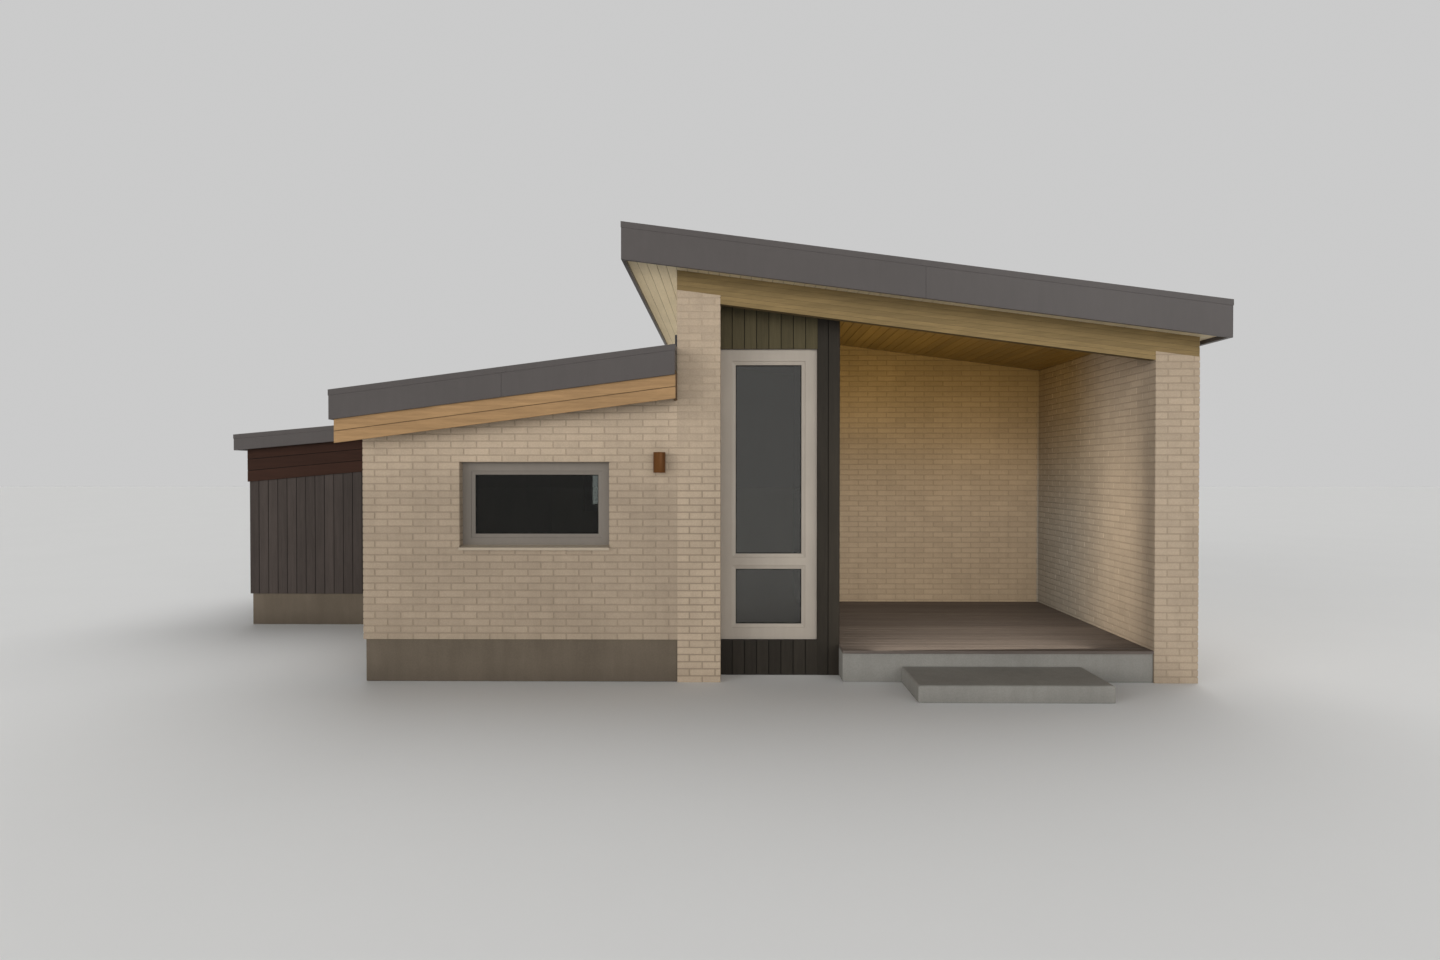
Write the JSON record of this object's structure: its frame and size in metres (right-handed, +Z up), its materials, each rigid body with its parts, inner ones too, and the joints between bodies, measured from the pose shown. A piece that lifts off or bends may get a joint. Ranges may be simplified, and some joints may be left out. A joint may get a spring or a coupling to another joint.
{
  "type": "single-storey house with two monopitch roofs",
  "caption": "Single-storey holiday house with a low and a tall block under opposed monopitch roofs, sand-coloured fin walls, a recessed porch and a dark timber annex.",
  "frame": {"origin": "on the ground under the middle of the centre wall, which stands between the two blocks", "axes": "+X to the right along the front, +Y from the front to the back, +Z up"},
  "size_m": [10.8, 8.2, 4.2256],
  "materials": {
    "wall": "thinly rendered brickwork, sand-coloured, matt",
    "plinth": "rendered concrete, brown-grey, matt",
    "fascia": "dark grey paint, satin",
    "brown_boards": "brown stained boards",
    "dark_boards": "dark brown-black stained boards",
    "frieze": "dark red-brown stained boards",
    "window_frame": "grey-brown paint, satin",
    "glass": "clear insulating glass",
    "felt": "dark grey bitumen felt",
    "soffit": "pale painted boards",
    "deck_boards": "weathered brown deck boards",
    "floor": "oiled floor boards",
    "lining": "pale ceiling boards",
    "lamp": "copper brown, satin"
  },
  "bodies": {
    "root": {"low_plinth": "plinth", "tall_plinth": "plinth", "annex_plinth": "plinth", "porch_base": "plinth", "porch_deck": "deck_boards", "porch_step": "plinth", "low_floor": "floor", "tall_floor": "floor", "annex_floor": "floor", "low_front_wall": "wall", "low_side_wall": "wall", "low_back_wall": "wall", "centre_wall": "wall", "right_wall": "wall", "tall_back_wall": "wall", "porch_back_wall": "wall", "porch_side_wall": "dark_boards", "bay_base": "dark_boards", "bay_head": "dark_boards", "annex_front_wall": "dark_boards", "annex_side_wall": "dark_boards", "annex_back_wall": "dark_boards", "annex_frieze": "frieze", "low_roof": "soffit", "low_felt": "felt", "low_fascia": "fascia", "under_boards": "brown_boards", "tall_roof": "soffit", "tall_felt": "felt", "tall_fascia": "fascia", "header_beam": "brown_boards", "porch_ceiling": "brown_boards", "low_ceiling": "lining", "tall_ceiling": "lining", "annex_roof": "soffit", "annex_felt": "felt", "annex_fascia": "fascia", "low_window_frame": "window_frame", "low_window_glass": "glass", "bay_window_frame": "window_frame", "bay_window_glass": "glass", "rear_window_frames": "window_frame", "rear_window_glass": "glass", "door_frame": "window_frame", "door_leaf": "dark_boards", "window_sills": "fascia", "wall_lamp": "lamp"}
  },
  "joints": []
}
